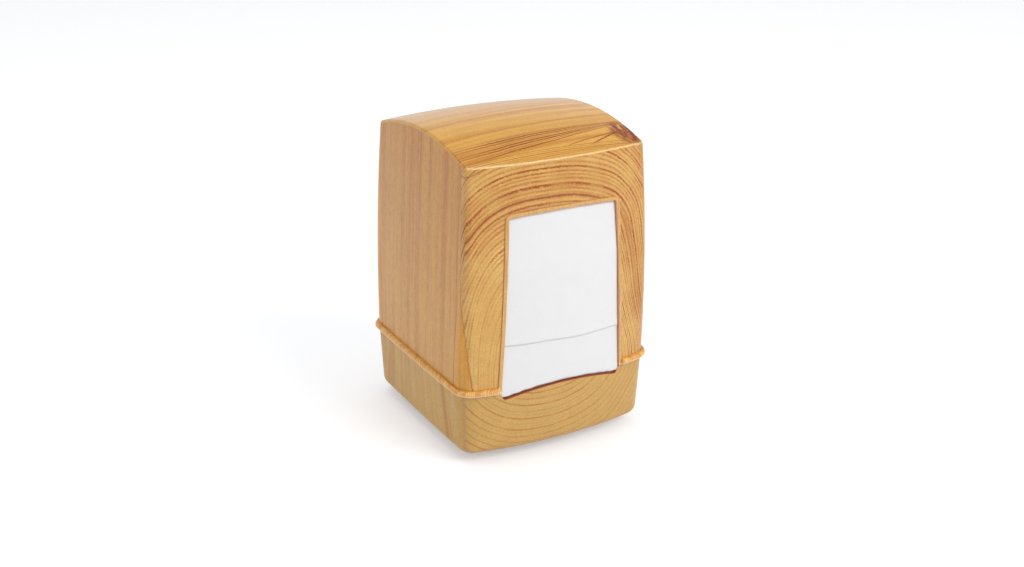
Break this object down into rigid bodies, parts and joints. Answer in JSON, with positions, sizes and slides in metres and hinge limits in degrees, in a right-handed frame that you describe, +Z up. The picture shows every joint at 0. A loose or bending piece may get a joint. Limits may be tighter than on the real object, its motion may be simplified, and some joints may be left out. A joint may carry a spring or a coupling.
{
  "type": "napkin dispenser",
  "caption": "Tabletop napkin dispenser: an arched lift-off cover with a window front and rear on a base tray, with folded napkins pressed to the windows by springs.",
  "frame": {"origin": "on the table under the middle of the dispenser", "axes": "+Z up, front window facing -Y, +X to the right seen from the front"},
  "size_m": [0.1072, 0.1106, 0.155],
  "materials": {
    "cover_shell": "satin moulding printed with wood grain",
    "base_shell": "satin moulding printed with wood grain",
    "white_moulding": "plain white moulding",
    "screw_steel": "zinc-plated",
    "spring_steel": "drawn wire",
    "napkin_paper": "soft white tissue",
    "clear_foot": "clear soft bumper"
  },
  "bodies": {
    "base": {"base_tray": "base_shell", "track_plate": "white_moulding", "spring_tower": "white_moulding", "tower_screws": "screw_steel", "front_left_foot": "clear_foot", "front_right_foot": "clear_foot", "rear_left_foot": "clear_foot", "rear_right_foot": "clear_foot", "front_lower_spring": "spring_steel", "front_upper_spring": "spring_steel", "rear_lower_spring": "spring_steel", "rear_upper_spring": "spring_steel"},
    "cover": {"cover": "cover_shell"},
    "front_feed": {"front_pusher": "white_moulding", "front_napkin_stack": "napkin_paper", "front_top_napkin": "napkin_paper"},
    "rear_feed": {"rear_pusher": "white_moulding", "rear_napkin_stack": "napkin_paper", "rear_top_napkin": "napkin_paper"}
  },
  "joints": [
    {"name": "cover_lift", "type": "slide", "parent": "base", "child": "cover", "axis": [0, 0, 1], "range_m": [0, 0.105]},
    {"name": "front_feed_slide", "type": "slide", "parent": "base", "child": "front_feed", "axis": [0, 1, 0], "range_m": [0, 0.012], "stiffness_N_per_m": 200, "springref_m": -0.015, "deforming": ["front_lower_spring", "front_upper_spring"]},
    {"name": "rear_feed_slide", "type": "slide", "parent": "base", "child": "rear_feed", "axis": [0, -1, 0], "range_m": [0, 0.012], "stiffness_N_per_m": 200, "springref_m": -0.015, "deforming": ["rear_lower_spring", "rear_upper_spring"]}
  ]
}
